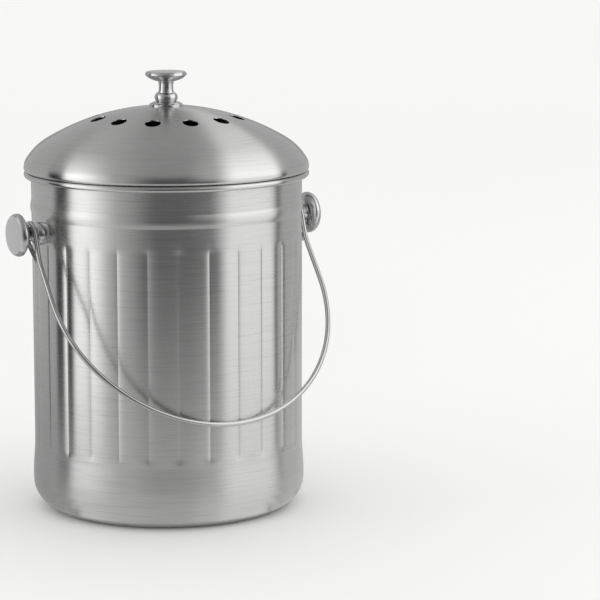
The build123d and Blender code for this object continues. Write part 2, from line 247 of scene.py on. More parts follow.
flute_rows = [FLUTE_LOW + FLUTE_FADE * k / FADE_ROWS for k in range(1, FADE_ROWS + 1)]
flute_rows += [FLUTE_LOW + FLUTE_FADE + ROW_STEP * k for k in range(1, WALL_ROWS + 1)]
flute_rows += [FLUTE_HIGH - FLUTE_FADE * k / FADE_ROWS for k in range(FADE_ROWS, 0, -1)]
ring_points = rounded([
    (WALL_INSIDE, RING_CREST - RING_SLOPE - RING_MARGIN, 0),
    (WALL_INSIDE, RING_CREST - RING_SLOPE, RING_FOOT_BEND),
    (WALL_INSIDE + RING_RISE, RING_CREST, RING_CREST_BEND),
    (WALL_INSIDE, RING_CREST + RING_SLOPE, RING_FOOT_BEND),
    (WALL_INSIDE, RING_CREST + RING_SLOPE + RING_MARGIN, 0),
], RING_ARC_STEP)
pail_corners = [
    (0, BASE_LIFT + SHEET, 0),
    (BASE_RING - BASE_SLOPE, BASE_LIFT + SHEET, BASE_BEND),
    (BASE_RING, SHEET, BASE_BEND),
    (FOOT_RADIUS, SHEET, FOOT_BEND),
    (FOOT_RADIUS, BAND_TOP, BAND_BEND),
    (WALL_INSIDE, BAND_TOP + BAND_SLOPE, BAND_BEND),
    *[(WALL_INSIDE, row, 0) for row in flute_rows],
    *[(point.x, point.y, 0) for point in ring_points],
    (WALL_INSIDE, RIM_TOP, CURL_BEND),
    (RIM_RADIUS, RIM_TOP, CURL_BEND),
    (RIM_RADIUS, RIM_TOP - CURL_HEIGHT, CURL_BEND),
    (WALL_OUTSIDE + CURL_GAP, RIM_TOP - CURL_HEIGHT, 0),
]
pail_points = rounded(pail_corners)
print("pail section:", len(pail_points), "points")

# %% [markdown]
# The flutes are upright grooves between gently rounded panels. On the press they are
# pushed in all at once. Here a vertex group says how far each vertex is pushed: fully in
# a groove, not at all in the middle of a panel, and fading out at both ends. Displace
# then moves the wall by that share of the flute's depth. The spin has a whole number of
# columns for each flute, so every groove runs down one column, and the columns beside it
# are drawn close to it, which keeps its crease sharp. The normals of the drawn surface
# point into the pail, because they point outwards at the curl.

# %% Pail: spin and flutes
FLUTES = 28
COLUMNS = 16
FLUTE_DEPTH = 0.6
FLUTE_TURN = -4.1
CROWDING = 0.7              # how far the columns crowd together at the grooves
CREASE = 0.25               # share of the depth that lies in a narrow crease
NEAR_WALL = 0.1


def ease(t):
    """Soft step from 0 to 1."""
    t = min(1, max(0, t))
    return t * t * (3 - 2 * t)


def from_groove(point):
    """How far round a point is from the nearest groove, from -0.5 to 0.5 of a panel."""
    turn = (degrees(atan2(point.y, point.x)) + 90 - FLUTE_TURN) / (360 / FLUTES) + 0.5
    return turn - round(turn)


def crowd_columns(piece):
    """Turns each column of vertices towards its groove."""
    for vertex in piece.data.vertices:
        share = sin(2 * pi * from_groove(vertex.co)) / (2 * pi)
        turn = radians(-CROWDING * share * 360 / FLUTES)
        vertex.co.rotate(Matrix.Rotation(turn, 3, "Z"))


def groove_share(point):
    """How far a point of the wall is pushed in, from 0 to 1."""
    across = 2 * abs(from_groove(point))
    height = point.z / MM
    fade = ease((height - FLUTE_LOW) / FLUTE_FADE) * ease((FLUTE_HIGH - height) / FLUTE_FADE)
    return ((1 - CREASE) * (1 - across) ** 2 + CREASE * (1 - across) ** 8) * fade


def make_pail():
    """The pail's shell, with its flutes pressed in."""
    pail = draw_line("pail_shell", pail_points)
    spin(FLUTES * COLUMNS)
    pail.data.transform(Matrix.Rotation(radians(FLUTE_TURN), 4, "Z"))
    crowd_columns(pail)
    group = pail.vertex_groups.new(name="groove")
    for vertex in pail.data.vertices:
        share = groove_share(vertex.co)
        on_wall = abs(hypot(vertex.co.x, vertex.co.y) / MM - WALL_INSIDE) < NEAR_WALL
        if share > 0 and on_wall:
            group.add([vertex.index], share, "REPLACE")
    apply_modifier(
        pail, "DISPLACE", vertex_group="groove", mid_level=0, strength=FLUTE_DEPTH * MM
    )
    thicken(pail, SHEET, -1)
    smooth(pail)
    return pail


pail = make_pail()
report(pail)

# %% [markdown]
# ## The lid's dome
#
# The dome is spun over a wooden form. Its section is three arcs, each running smoothly
# into the next: a wide crown, a shoulder, and a tight edge that rolls under into a hem,
# which rests on the pail's rim.

# %% Dome: section
LID_SHEET = 0.5
HEM = 2.05
HEM_WIDTH = 4.7             # how far in from the edge the hem's flat underside ends
EDGE_BEND = 10.0
EDGE_TURN = 31.0
SHOULDER = 37.0
CROWN = 150.0
LIP = LID_BOTTOM + HEM
SCREW_HOLE = 2.15

edge_centre = Vector((LID_RADIUS - EDGE_BEND, LIP))
edge_way = Vector((cos(radians(EDGE_TURN)), sin(radians(EDGE_TURN))))
shoulder_centre = edge_centre - edge_way * (SHOULDER - EDGE_BEND)
crown_drop = sqrt((CROWN - SHOULDER) ** 2 - shoulder_centre.x**2)
crown_centre = Vector((0, shoulder_centre.y - crown_drop))
shoulder_turn = degrees(acos(shoulder_centre.x / (CROWN - SHOULDER)))
hole_turn = degrees(acos(SCREW_HOLE / CROWN))
hem_centre = (LID_RADIUS - HEM, LIP)

dome_points = arc(crown_centre, CROWN, hole_turn, shoulder_turn, 26)
dome_points += arc(shoulder_centre, SHOULDER, shoulder_turn, EDGE_TURN, 10)[1:]
dome_points += arc(edge_centre, EDGE_BEND, EDGE_TURN, 0, 8)[1:]
dome_points += arc(hem_centre, HEM, 0, -90, 8)[1:]
dome_points.append(Vector((LID_RADIUS - HEM_WIDTH, LID_BOTTOM)))
print("dome section:", len(dome_points), "points")

# %% [markdown]
# Twelve round vents are punched in a circle round the knob. They are cut by one Boolean
# with twelve posts, joined into one object, so that the dome is cut only once.

# %% Dome: spin and vents
VENTS = 12
VENT_DIAMETER = 10.0
VENT_CIRCLE = 45.4
VENT_TURN = 21.4
POST_LENGTH = 40.0
AROUND = 240                # columns in each piece of the lid


def vent_posts():
    """Twelve upright posts in one object, to cut the vents."""
    start_clean()
    posts = []
    for i in range(VENTS):
        turn = radians(VENT_TURN - 90 + 360 / VENTS * i)
        place = (VENT_CIRCLE * cos(turn) * MM, VENT_CIRCLE * sin(turn) * MM, DOME_TOP * MM)
        bpy.ops.mesh.primitive_cylinder_add(
            vertices=48, radius=VENT_DIAMETER / 2 * MM, depth=POST_LENGTH * MM, location=place
        )
        posts.append(bpy.context.object)
    for post in posts:
        post.select_set(True)
    bpy.ops.object.join()
    return bpy.context.object


def make_dome():
    """The lid's dome, with its vents cut."""
    dome = draw_line("dome_shell", dome_points)
    spin(AROUND)
    thicken(dome, LID_SHEET, -1)
    posts = vent_posts()
    apply_modifier(dome, "BOOLEAN", operation="DIFFERENCE", object=posts, solver="EXACT")
    bpy.data.objects.remove(posts)
    smooth(dome)
    return dome


dome = make_dome()
report(dome)

# %% [markdown]
# ## The plug under the lid
#
# A ring of sheet hangs under the dome and drops into the pail's mouth, so the lid can't
# slide off. Its flange lies on the dome's hem. A short sleeve inside it takes the rim of
# the cover that holds the filter.

# %% Plug ring
PLUG_PLAY = 0.65            # room between the plug and the pail's wall
PLUG_RADIUS = WALL_INSIDE - PLUG_PLAY
PLUG_BEND = 1.0
FLANGE_INSET = 2.15
FLANGE_RADIUS = LID_RADIUS - FLANGE_INSET
SEAM = 0.15                 # the dark line between the plug and the cover
SLEEVE_RADIUS = PLUG_RADIUS - LID_SHEET
SLEEVE_ABOVE = 4.0
SLEEVE_BELOW = 1.5


def make_plug():
    """The ring under the lid, with the sleeve that takes the cover."""
    flange = LID_BOTTOM + LID_SHEET
    edge = COVER_TOP + SEAM
    wall = [
        (FLANGE_RADIUS, flange, 0),
        (PLUG_RADIUS, flange, PLUG_BEND),
        (PLUG_RADIUS, edge, 0),
    ]
    plug = draw_line("plug_ring", rounded(wall))
    spin(AROUND)
    thicken(plug, LID_SHEET, -1)
    sleeve_line = [(SLEEVE_RADIUS, edge + SLEEVE_ABOVE), (SLEEVE_RADIUS, edge - SLEEVE_BELOW)]
    sleeve = draw_line("sleeve", sleeve_line)
    spin(AROUND)
    thicken(sleeve, LID_SHEET, -1)
    start_clean()
    sleeve.select_set(True)
    plug.select_set(True)
    bpy.context.view_layer.objects.active = plug
    bpy.ops.object.join()
    smooth(plug)
    return plug


plug = make_plug()
report(plug)

# %% [markdown]
# ## The cover and its filter
#
# The cover is a ring of plate with a turned-up rim, which slips over the sleeve. The edge
# of its hole is turned up too, and the filter pad lies on that edge.

# %% Cover plate
PLATE_WIDTH = 34.7          # from the plug's wall to the hole
HOLE_RADIUS = PLUG_RADIUS - PLATE_WIDTH
HOLE_EDGE = 1.3
HOLE_BEND = 0.9
COVER_BEND = 1.4


def make_cover():
    """The ring of plate that holds the filter."""
    plate = [
        (COVER_RADIUS, COVER_TOP, 0),
        (COVER_RADIUS, COVER_BOTTOM, COVER_BEND),
        (HOLE_RADIUS, COVER_BOTTOM, HOLE_BEND),
        (HOLE_RADIUS, COVER_BOTTOM + HOLE_EDGE, 0),
    ]
    cover = draw_line("cover_plate", rounded(plate))
    spin(AROUND)
    thicken(cover, LID_SHEET, -1)
    smooth(cover)
    return cover


cover = make_cover()
report(cover)

# %% [markdown]
# ## Turned pieces
#
# The knobs, beads and rosette are turned from solid metal on a lathe. The same drawn line
# and spin make them. The line starts on the axis or closes on itself, so that each piece
# is closed. `through` gives points on the arc through three points.

# %% Arc through three points


def through(a, b, c, steps):
    """Points on the arc from a through b to c."""
    a, b, c = Vector(a), Vector(b), Vector(c)
    ab, ac = b - a, c - a
    cross = 2 * (ab.x * ac.y - ab.y * ac.x)
    x = (ac.y * ab.length_squared - ab.y * ac.length_squared) / cross
    y = (ab.x * ac.length_squared - ac.x * ab.length_squared) / cross
    centre = a + Vector((x, y))
    start = a - centre
    end = c - centre
    turn = atan2(start.x * end.y - start.y * end.x, start.dot(end))
    return [centre + Matrix.Rotation(turn * k / steps, 2) @ start for k in range(steps + 1)]


def bulge(a, c, height, steps):
    """Points on the arc from a to c whose middle stands out to the right by height."""
    a, c = Vector(a), Vector(c)
    way = (c - a).normalized()
    return through(a, (a + c) / 2 + Vector((way.y, -way.x)) * height, c, steps)


def turned(name, points, closed=False):
    """A solid of revolution standing on the XY plane."""
    piece = draw_line(name, points + [points[0]] if closed else points)
    spin(96)
    smooth(piece)
    return piece


# %% [markdown]
# ## Knobs
#
# Each knob is a low drum on a waisted stem, screwed on from behind. One stands on the lid,
# and two are the bail's pivots. The edge of the pivots' drums is thicker and rounder than
# that of the lid's, and the flat faces get a second, satin material.

# %% Knob
STACK = 8.1
KNOB_HEIGHT = KNOB_TOP - KNOB_BOTTOM
KNOB_RADIUS = size_of("lid_knob")[1].x
FACE_RADIUS = 12.0
FACE_CROWN = 0.35           # how far the middle of the face stands above its edge
STEM_FOOT = 5.1
STEM_WAIST = 4.6
STEM_HEAD = 5.2
WAIST_HEIGHT = 4.1
STEM_HEIGHT = 7.4
BORE_RADIUS = 2.0
BORE_DEPTH = 7.6


def knob_points(edge, under_bulge, edge_bulge):
    """Section of a knob, from the end of its bore to the middle of its face."""
    head = (STEM_HEAD, STEM_HEIGHT)
    stem = through((STEM_FOOT, 0), (STEM_WAIST, WAIST_HEIGHT), head, 12)
    widest = (KNOB_RADIUS, KNOB_HEIGHT - edge)
    under = bulge(head, widest, under_bulge, 14)
    rim = bulge(widest, (FACE_RADIUS, KNOB_HEIGHT - FACE_CROWN), edge_bulge, 8)
    face = []
    for k in range(1, 9):
        share = 1 - k / 8
        face.append(Vector((FACE_RADIUS * share, KNOB_HEIGHT - FACE_CROWN * share**2)))
    bore = [(0, BORE_DEPTH), (BORE_RADIUS, BORE_DEPTH), (BORE_RADIUS, 0)]
    return [Vector(p) for p in bore] + stem + under[1:] + rim[1:] + face


def copy_to(piece, name, place):
    """A copy of a turned piece, with its own mesh moved to its place."""
    other = piece.copy()
    other.data = piece.data.copy()
    other.name = name
    other.data.name = name
    bpy.context.scene.collection.objects.link(other)
    other.data.transform(place)
    return other


def pivot_place(side, start):
    """Places a turned piece on a pivot, standing out from the wall."""
    out = Matrix.Translation((side * start * MM, 0, PIVOT_HEIGHT * MM))
    return out @ Matrix.Rotation(side * pi / 2, 4, "Y")


def satin_face(knob):
    """Gives the flat end of a knob the second material."""
    for face in knob.data.polygons:
        if face.normal.z > 0.98 and face.center.z > (KNOB_HEIGHT - 1) * MM:
            face.material_index = 1


lid_section = knob_points(edge=2.3, under_bulge=0.9, edge_bulge=0.3)
pivot_section = knob_points(edge=4.2, under_bulge=1.2, edge_bulge=0.6)
lid_knob = turned("lid_grip", lid_section)
pivot_knob = turned("pivot_grip", pivot_section)
satin_face(lid_knob)
satin_face(pivot_knob)
knobs = {}
for side, name in ((-1, "left"), (1, "right")):
    place = pivot_place(side, WALL_OUTSIDE + STACK)
    knobs[name] = copy_to(pivot_knob, f"pivot_grip_{name}", place)
bpy.data.objects.remove(pivot_knob)
lid_knob.data.transform(Matrix.Translation((0, 0, KNOB_BOTTOM * MM)))
report(lid_knob)
report(knobs["left"])

# %% [markdown]
# ## Beads and rosette
#
# A round bead holds each knob off its seat. The pivots' beads stand on the wall, and their
# flat ends are sunk into it by a little, because it is curved. The lid's bead stands on
# the rosette, a low domed foot that is itself sunk a little into the dome.

# %% Beads and rosette
ROSETTE_TOP = 2.6
ROSETTE_RADIUS = 10.8
ROSETTE_EDGE = 0.6
ROSETTE_BULGE = 0.4
ROSETTE_SUNK = 0.25         # how far it is sunk into the dome at the hole
BEAD_FOOT = 6.3
BEAD_WIDEST = 7.4
BEAD_NECK = 5.6
BEAD_SUNK = 0.5


def bead_points(low, sunk=0):
    """Section of a bead from a height up to the knob, with its flat end sunk or not."""
    middle = (BEAD_WIDEST, (low + STACK) / 2)
    side = through((BEAD_FOOT, low), middle, (BEAD_NECK, STACK), 16)
    hole = [Vector((SCREW_HOLE, STACK)), Vector((SCREW_HOLE, low - sunk))]
    if sunk:
        hole.append(Vector((BEAD_FOOT, low - sunk)))
    return side + hole


edge = (ROSETTE_RADIUS, ROSETTE_EDGE)
rosette_points = [Vector((ROSETTE_RADIUS, -ROSETTE_EDGE)), Vector(edge)]
rosette_points += bulge(edge, (BEAD_FOOT, ROSETTE_TOP), ROSETTE_BULGE, 10)[1:]
rosette_points += [Vector((SCREW_HOLE, ROSETTE_TOP)), Vector((SCREW_HOLE, -ROSETTE_SUNK))]

pivot_bead = turned("pivot_bead", bead_points(0, BEAD_SUNK), closed=True)
beads = {}
for side, name in ((-1, "left"), (1, "right")):
    beads[name] = copy_to(pivot_bead, f"pivot_bead_{name}", pivot_place(side, WALL_OUTSIDE))
bpy.data.objects.remove(pivot_bead)
lid_bead = turned("lid_bead", bead_points(ROSETTE_TOP), closed=True)
lid_bead.data.transform(Matrix.Translation((0, 0, DOME_TOP * MM)))
rosette = turned("lid_rosette_foot", rosette_points, closed=True)
rosette.data.transform(Matrix.Translation((0, 0, DOME_TOP * MM)))
report(rosette)

# %% [markdown]
# ## The bail
#
# The bail is one length of round wire. It is bent as on a wire former: from the middle of
# the grip round a quarter circle, straight up a leg, over a gentle bend into the eye,
# round the pivot, and down into a short tail beside the leg. The ring of edges at the
# end of the wire is pulled along each straight and spun round each bend. The other half
# is its mirror image.

# %% Bail
WIRE_DIAMETER = 3.1
HALF_WIDTH = BAIL_OUTSIDE - WIRE_DIAMETER / 2
REACH = 145.0
EYE_PLAY = 0.12             # room between the eye and the knob's stem
EYE = STEM_FOOT + EYE_PLAY + WIRE_DIAMETER / 2
EYE_LENGTH = 19.5
TAIL_LENGTH = 18.5
TAIL_GAP = 0.2
LEG_BEND = 30.0
REST_GAP = 0.3              # the resting bail stays this far off the wall
REST_ANGLE = asin((WALL_OUTSIDE + REST_GAP + WIRE_DIAMETER / 2) / REACH)


def pull(x, y, z):
    """Pulls the end of the wire along a straight, in millimetres."""
    bpy.ops.mesh.extrude_region_move(
        TRANSFORM_OT_translate={"value": (x * MM, y * MM, z * MM)}
    )


def bend(centre, axis, angle, steps):
    """Spins the end of the wire round a bend, counterclockwise as seen from the axis's tip."""
    place = [c * MM for c in centre]
    bpy.ops.mesh.spin(steps=steps, angle=-angle, center=place, axis=axis)


def touch_eye(across, down, turn):
    """Where a straight from a point beside the eye meets the eye's circle."""
    half = acos(EYE / hypot(across, down))
    angle = atan2(across, down) + turn * half
    return Vector((EYE * sin(angle), EYE * cos(angle)))


def make_bail():
    """The wire, bent from the middle of the grip to its tail, and mirrored."""
    splay = asin(EYE / EYE_LENGTH)
    back = LEG_BEND * tan(splay / 2)
    bend_end = EYE_LENGTH + back
    drift = LEG_BEND - sqrt(LEG_BEND**2 - (bend_end - TAIL_LENGTH) ** 2)
    tail_end = Vector((WIRE_DIAMETER + TAIL_GAP - drift, TAIL_LENGTH))
    tail_touch = touch_eye(*tail_end, 1)
    leg_touch = touch_eye(0, EYE_LENGTH, -1)
    start_clean()
    bpy.ops.mesh.primitive_circle_add(
        vertices=24, radius=WIRE_DIAMETER / 2 * MM, location=(0, 0, -REACH * MM),
        rotation=(0, pi / 2, 0),
    )
    wire = bpy.context.object
    wire.name = "bail_wire"
    wire.data.name = "bail_wire"
    bpy.ops.object.transform_apply()
    bpy.ops.object.mode_set(mode="EDIT")
    bpy.ops.mesh.select_all(action="SELECT")
    bend((0, 0, HALF_WIDTH - REACH), (0, 1, 0), -pi / 2, 48)
    pull(0, 0, REACH - HALF_WIDTH - bend_end)
    bend((HALF_WIDTH, -LEG_BEND, -bend_end), (1, 0, 0), splay, 8)
    bent = Vector((-LEG_BEND + LEG_BEND * cos(splay), -bend_end + LEG_BEND * sin(splay)))
    pull(0, leg_touch.x - bent.x, -leg_touch.y - bent.y)
    leg_angle = atan2(leg_touch.x, leg_touch.y)
    tail_angle = atan2(tail_touch.x, tail_touch.y)
    turn = (leg_angle - tail_angle) % (2 * pi)
    bend((HALF_WIDTH, 0, 0), (1, 0, 0), -turn, 40)
    pull(0, tail_end.x - tail_touch.x, tail_touch.y - tail_end.y)
    bpy.ops.mesh.edge_face_add()
    bpy.ops.object.mode_set(mode="OBJECT")
    apply_modifier(wire, "MIRROR", use_axis=(True, False, False), merge_threshold=0.01 * MM)
    bpy.ops.object.mode_set(mode="EDIT")
    bpy.ops.mesh.select_all(action="SELECT")
    bpy.ops.mesh.remove_doubles(threshold=MERGE)
    bpy.ops.mesh.normals_make_consistent(inside=False)
    bpy.ops.object.mode_set(mode="OBJECT")
    swing = Matrix.Rotation(-REST_ANGLE, 4, "X")
    wire.data.transform(Matrix.Translation((0, 0, PIVOT_HEIGHT * MM)) @ swing)
    smooth(wire)
    return wire


bail = make_bail()
report(bail)
low, high = size_of("bail")
print("packed bail:", [round(high[i] - low[i], 1) for i in range(3)])

# %% [markdown]
# ## The charcoal filter
#
# The filter is a disc of needled fibre soaked with fine charcoal. It is soft, so its
# edges are round and its faces are never quite flat.

# %% Filter pad
PAD_RADIUS = size_of("charcoal_filter")[1].x
PAD_BOTTOM = size_of("charcoal_filter")[0].z
PAD_TOP = size_of("charcoal_filter")[1].z
PAD_INSET = 0.4             # room for the lumps at the side
PAD_LOSS = 0.3              # and above and below
PAD_BEND = 1.6
PAD_RINGS = 40
FLAT = 0.97                 # share of the radius at which the pad's edge starts
RINGS_END = 0.975           # scale of the rings in the faces, the last of which is inside it
LUMP_HEIGHT = 0.5


def make_pad():
    """The felt disc, with soft edges and uneven faces."""
    radius = PAD_RADIUS - PAD_INSET
    low, high = PAD_BOTTOM + PAD_LOSS, PAD_TOP - PAD_LOSS
    rings = [radius * k / PAD_RINGS * RINGS_END for k in range(PAD_RINGS)]
    points = [Vector((ring, low)) for ring in rings]
    points += rounded([
        (radius * FLAT, low, 0),
        (radius, low, PAD_BEND),
        (radius, high, PAD_BEND),
        (radius * FLAT, high, 0),
    ], 15)
    points += [Vector((ring, high)) for ring in reversed(rings)]
    pad = draw_line("filter_pad", points)
    spin(160)
    lumps = bpy.data.textures.new("felt lumps", "CLOUDS")
    lumps.noise_scale = 0.009
    apply_modifier(
        pad, "DISPLACE", texture=lumps, strength=LUMP_HEIGHT * MM, texture_coords="LOCAL"
    )
    smooth(pad)
    return pad


pad = make_pad()
report(pad)

# %% [markdown]
# ## Making materials
#
# Colours are written as in a paint program, as sRGB hex values, and one function turns
# them into the linear values that Blender works with. `add` puts one node in a material:
# its settings are set and its sockets get a value or a link.

# %% Helpers for materials


def linear(colour):
    """sRGB hex as a linear colour."""
    parts = [int(colour[i : i + 2], 16) / 255 for i in (1, 3, 5)]
    parts = [p / 12.92 if p <= 0.04045 else ((p + 0.055) / 1.055) ** 2.4 for p in parts]
    return (*parts, 1)


def add(material, kind, inputs=None, **settings):
    """Adds a node with its settings, and gives each named input a value or a link."""
    tree = material.node_tree
    node = tree.nodes.new(kind)
    for key, value in settings.items():
        setattr(node, key, value)
    for key, value in (inputs or {}).items():
        if isinstance(value, bpy.types.NodeSocket):
            tree.links.new(value, node.inputs[key])
        else:
            node.inputs[key].default_value = value
    return node


def new_material(name, colour, metallic, roughness):
    """A material and its shader, with the plain values set."""
    material = bpy.data.materials.new(name)
    material.use_nodes = True
    shader = material.node_tree.nodes["Principled BSDF"]
    shader.inputs["Base Color"].default_value = linear(colour)
    shader.inputs["Metallic"].default_value = metallic
    shader.inputs["Roughness"].default_value = roughness
    return material, shader


def ramp(material, factor, dark, light, low=0.0, high=1.0):
    """Colour that goes from one hex value to another as a factor goes from low to high."""
    node = add(material, "ShaderNodeValToRGB", {"Fac": factor})
    stops = node.color_ramp.elements
    stops[0].position, stops[0].color = low, linear(dark)
    stops[1].position, stops[1].color = high, linear(light)
    return node.outputs["Color"]


def spread(material, factor, low, high, start=0.3, end=0.7):
    """Number that goes from low to high as a factor goes from start to end."""
    inputs = {"Value": factor, "From Min": start, "From Max": end, "To Min": low, "To Max": high}
    return add(material, "ShaderNodeMapRange", inputs).outputs["Result"]


# %% [markdown]
# ## Brushed stainless steel
#
# Pail and lid are stainless steel, brushed on the turning form with an abrasive belt. The
# belt leaves fine lines that run round the axis. Each line is a tiny groove, so light is
# spread across the lines and hardly along them: the wall shows upright bands, and the
# dome shows rays from its middle. That is anisotropy, with its tangent round the Z axis.
#
# The lines themselves come from noise that is stretched round the object. `z - r` counts
# millimetres across the lines on the wall and on the dome alike.

# %% Brushed steel
LINE_WIDTH = 0.35 * MM      # real lines are near 0.1 mm, drawn coarser so that they show
LINE_LENGTH = 22 * MM
SMUDGE = 60 * MM
LINES_STOP = 84.5 * MM      # beyond this radius only the height counts, flutes or not
BURNISH = 0.8               # rolled edges are burnished by the rolls, so they are glossier
BURNISH_FROM = 87.8 * MM    # radius at which the gloss starts to rise
BURNISH_TO = 88.8 * MM


def brushed(name, dark, light, roughness, anisotropy, line_width=LINE_WIDTH):
    """Steel brushed round the Z axis: satin bands, fine lines and faint smudges."""
    material, shader = new_material(name, light, 1, roughness)
    place = add(material, "ShaderNodeTexCoord").outputs["Object"]
    parts = add(material, "ShaderNodeSeparateXYZ", {"Vector": place})
    inputs = {"X": parts.outputs["X"], "Y": parts.outputs["Y"]}
    flat = add(material, "ShaderNodeCombineXYZ", inputs).outputs[0]
    radius = add(material, "ShaderNodeVectorMath", {0: flat}, operation="LENGTH").outputs["Value"]
    way = add(material, "ShaderNodeVectorMath", {0: flat}, operation="NORMALIZE").outputs[0]
    inputs = {0: radius, 1: LINES_STOP}
    inner = add(material, "ShaderNodeMath", inputs, operation="MINIMUM").outputs[0]
    inputs = {0: parts.outputs["Z"], 1: inner}
    across = add(material, "ShaderNodeMath", inputs, operation="SUBTRACT").outputs[0]

    def lines(width, length, detail):
        """Noise stretched along the brushing."""
        along = add(material, "ShaderNodeVectorMath", {0: way}, operation="SCALE")
        along.inputs["Scale"].default_value = WALL_OUTSIDE * MM / length
        steps = add(material, "ShaderNodeMath", {0: across, 1: 1 / width}, operation="MULTIPLY")
        side = add(material, "ShaderNodeCombineXYZ", {"Z": steps.outputs[0]})
        inputs = {0: along.outputs[0], 1: side.outputs[0]}
        vector = add(material, "ShaderNodeVectorMath", inputs, operation="ADD").outputs[0]
        inputs = {"Vector": vector, "Scale": 1.0, "Detail": detail, "Roughness": 0.6}
        return add(material, "ShaderNodeTexNoise", inputs).outputs["Fac"]

    fine = lines(line_width, LINE_LENGTH, 3.0)
    broad = lines(line_width * 4, LINE_LENGTH * 2, 2.0)
    inputs = {"Vector": place, "Scale": 1 / SMUDGE, "Detail": 3.0}
    smudge = add(material, "ShaderNodeTexNoise", inputs).outputs["Fac"]
    both = add(material, "ShaderNodeMath", {0: fine, 1: broad}, operation="ADD").outputs[0]
    colour = ramp(material, both, dark, light, 0.75, 1.25)
    rough = spread(material, fine, roughness - 0.02, roughness + 0.02)
    cloud = spread(material, smudge, -0.02, 0.02)
    rough = add(material, "ShaderNodeMath", {0: rough, 1: cloud}, operation="ADD").outputs[0]
    burnish = spread(material, radius, 1, BURNISH, BURNISH_FROM, BURNISH_TO)
    rough = add(material, "ShaderNodeMath", {0: rough, 1: burnish}, operation="MULTIPLY").outputs[0]
    inputs = {"Height": fine, "Strength": 0.12, "Distance": 0.008 * MM}
    bump = add(material, "ShaderNodeBump", inputs).outputs["Normal"]
    tangent = add(material, "ShaderNodeTangent", direction_type="RADIAL", axis="Z").outputs[0]
    material.node_tree.links.new(colour, shader.inputs["Base Color"])
    material.node_tree.links.new(rough, shader.inputs["Roughness"])
    material.node_tree.links.new(bump, shader.inputs["Normal"])
    material.node_tree.links.new(tangent, shader.inputs["Tangent"])
    shader.inputs["Anisotropic"].default_value = anisotropy
    shader.inputs["Anisotropic Rotation"].default_value = 0.25
    return material


steel = brushed("brushed stainless steel", "#C5C5C4", "#CECECD", 0.26, 0.85)
plate_steel = brushed("spun stainless plate", "#C6C6C5", "#D2D2D1", 0.30, 0.85, 0.5 * MM)
print("materials:", steel.name, "and", plate_steel.name)

# %% [markdown]
# ## Polished pieces
#
# Knobs, beads and rosette are chromed brass, polished on a buffing wheel. They mirror
# sharply, with the faintest haze of fine scratches. The wire is drawn stainless steel,
# bright but a little hazier. The knobs' flat faces are satin chrome, and the screws and
# washers are zinc-plated.

# %% Chrome, wire, satin face and zinc


def polished(name, dark, light, low, high, scratch):
    """Bright metal whose gloss varies a little with fine scratches."""
    material, shader = new_material(name, light, 1, low)
    place = add(material, "ShaderNodeTexCoord").outputs["Object"]
    inputs = {"Vector": place, "Scale": 1 / scratch, "Detail": 4.0, "Roughness": 0.7}
    haze = add(material, "ShaderNodeTexNoise", inputs, noise_dimensions="3D").outputs["Fac"]
    rough = spread(material, haze, low, high)
    inputs = {"Height": haze, "Strength": 0.08, "Distance": 0.01 * MM}
    bump = add(material, "ShaderNodeBump", inputs).outputs["Normal"]
    colour = ramp(material, haze, dark, light, 0.3, 0.7)
    material.node_tree.links.new(colour, shader.inputs["Base Color"])
    material.node_tree.links.new(rough, shader.inputs["Roughness"])
    material.node_tree.links.new(bump, shader.inputs["Normal"])
    return material


chrome = polished("polished chrome", "#C4C4C4", "#D0D0D0", 0.03, 0.07, 3 * MM)
wire_steel = polished("bright drawn wire", "#BCBCBB", "#C8C8C7", 0.05, 0.1, 1.2 * MM)
satin = polished("satin chrome face", "#E9E9E9", "#F0F0F0", 0.30, 0.38, 0.8 * MM)
zinc = polished("zinc-plated steel", "#A9ACB0", "#C3C6C8", 0.30, 0.45, 1.5 * MM)

# %% [markdown]
# ## Charcoal felt
#
# The filter is polyester felt, black with fine charcoal. It scatters light and has no
# gloss at all. Short fibres cross on its face, which a stretched, warped noise gives.

# %% Charcoal felt
FIBRE = 1.1 * MM            # the fibres are near 0.05 mm, and only their tangles show
THIN_PATCH = 14 * MM


def charcoal_felt():
    """Black fibres that cross, thinner in places, with no gloss."""
    material, shader = new_material("charcoal felt", "#1B1B1C", 0, 0.95)
    place = add(material, "ShaderNodeTexCoord").outputs["Object"]
    inputs = {"Vector": place, "Scale": 1 / FIBRE, "Detail": 4.0, "Distortion": 3.0}
    fibres = add(material, "ShaderNodeTexNoise", inputs).outputs["Fac"]
    inputs = {"Vector": place, "Scale": 1 / THIN_PATCH, "Detail": 3.0}
    cloud = add(material, "ShaderNodeTexNoise", inputs).outputs["Fac"]
    thin = spread(material, cloud, 0.92, 1.0)
    both = add(material, "ShaderNodeMath", {0: fibres, 1: thin}, operation="MULTIPLY").outputs[0]
    colour = ramp(material, both, "#060608", "#2C2C30", 0.38, 0.68)
    inputs = {"Height": fibres, "Strength": 0.9, "Distance": 0.6 * MM}
    bump = add(material, "ShaderNodeBump", inputs).outputs["Normal"]
    material.node_tree.links.new(colour, shader.inputs["Base Color"])
    material.node_tree.links.new(bump, shader.inputs["Normal"])
    shader.inputs["Specular IOR Level"].default_value = 0.15
    return material


felt = charcoal_felt()
